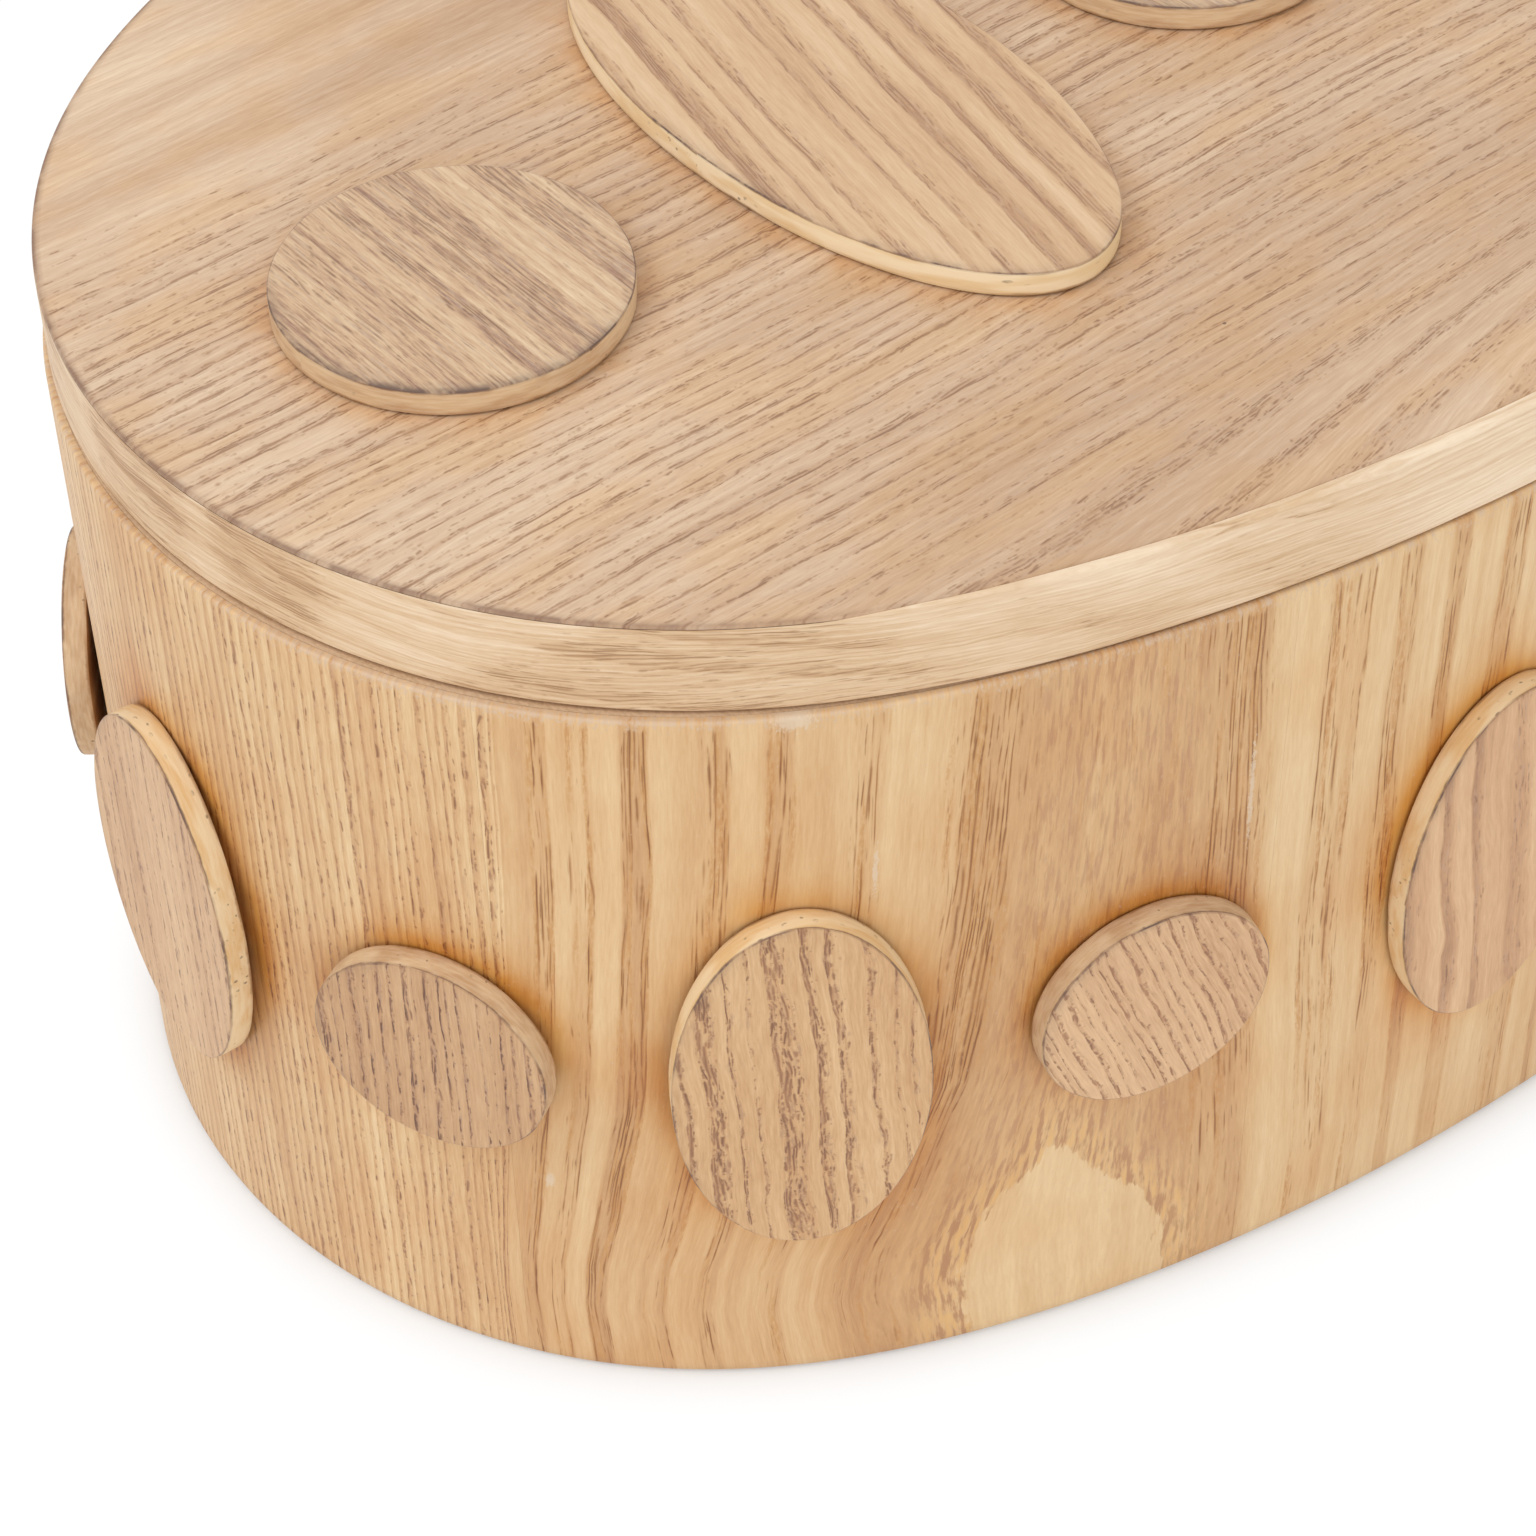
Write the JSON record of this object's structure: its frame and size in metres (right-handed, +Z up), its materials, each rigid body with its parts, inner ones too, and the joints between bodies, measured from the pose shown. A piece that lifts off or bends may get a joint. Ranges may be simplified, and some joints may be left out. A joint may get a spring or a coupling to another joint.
{
  "type": "oval keepsake box",
  "caption": "Oval veneered wooden box for papers and keepsakes, with a loose lift-off lid and flat oval and round plates laid on its wall and lid.",
  "frame": {"origin": "centre of the whole box on the surface it stands on", "axes": "+X along the box's long way, +Y across it, +Z up"},
  "size_m": [0.3229, 0.1968, 0.1315],
  "materials": {
    "wall_veneer": "open-pored veneer, satin oil, grain upright",
    "lid_veneer": "open-pored veneer, satin oil, grain along the lid",
    "pale_edging": "pale edging strip, satin oil, grain round the lid",
    "plate_veneer": "open-pored veneer face on a pale board edge",
    "core_board": "plain sanded board",
    "lining_felt": "matt felt"
  },
  "bodies": {
    "box": {"base_board": "core_board", "floor_felt": "lining_felt", "side_large_oval_1": "plate_veneer", "side_large_oval_2": "plate_veneer", "side_large_oval_3": "plate_veneer", "side_large_oval_4": "plate_veneer", "side_large_oval_5": "plate_veneer", "side_large_oval_6": "plate_veneer", "side_large_oval_7": "plate_veneer", "side_large_oval_8": "plate_veneer", "side_large_oval_9": "plate_veneer", "side_small_disc_1": "plate_veneer", "side_small_disc_2": "plate_veneer", "side_small_disc_3": "plate_veneer", "side_small_disc_4": "plate_veneer", "side_small_disc_5": "plate_veneer", "side_small_disc_6": "plate_veneer", "side_small_disc_7": "plate_veneer", "side_small_disc_8": "plate_veneer", "side_small_disc_9": "plate_veneer", "wall_core": "core_board", "wall_veneer_1": "wall_veneer", "wall_veneer_2": "wall_veneer", "wall_veneer_3": "wall_veneer", "wall_veneer_4": "wall_veneer", "wall_veneer_5": "wall_veneer", "wall_veneer_6": "wall_veneer", "wall_veneer_7": "wall_veneer", "wall_veneer_8": "wall_veneer"},
    "lid": {"lid_board": "core_board", "lid_disc_left": "plate_veneer", "lid_disc_middle": "plate_veneer", "lid_disc_right": "plate_veneer", "lid_edge_band": "pale_edging", "lid_leaf_left": "plate_veneer", "lid_leaf_right": "plate_veneer", "lid_locating_panel": "core_board", "lid_top_veneer": "lid_veneer"}
  },
  "joints": [
    {"name": "lid_lift", "type": "slide", "parent": "box", "child": "lid", "axis": [0, 0, 1], "range_m": [0, 0.16]}
  ]
}
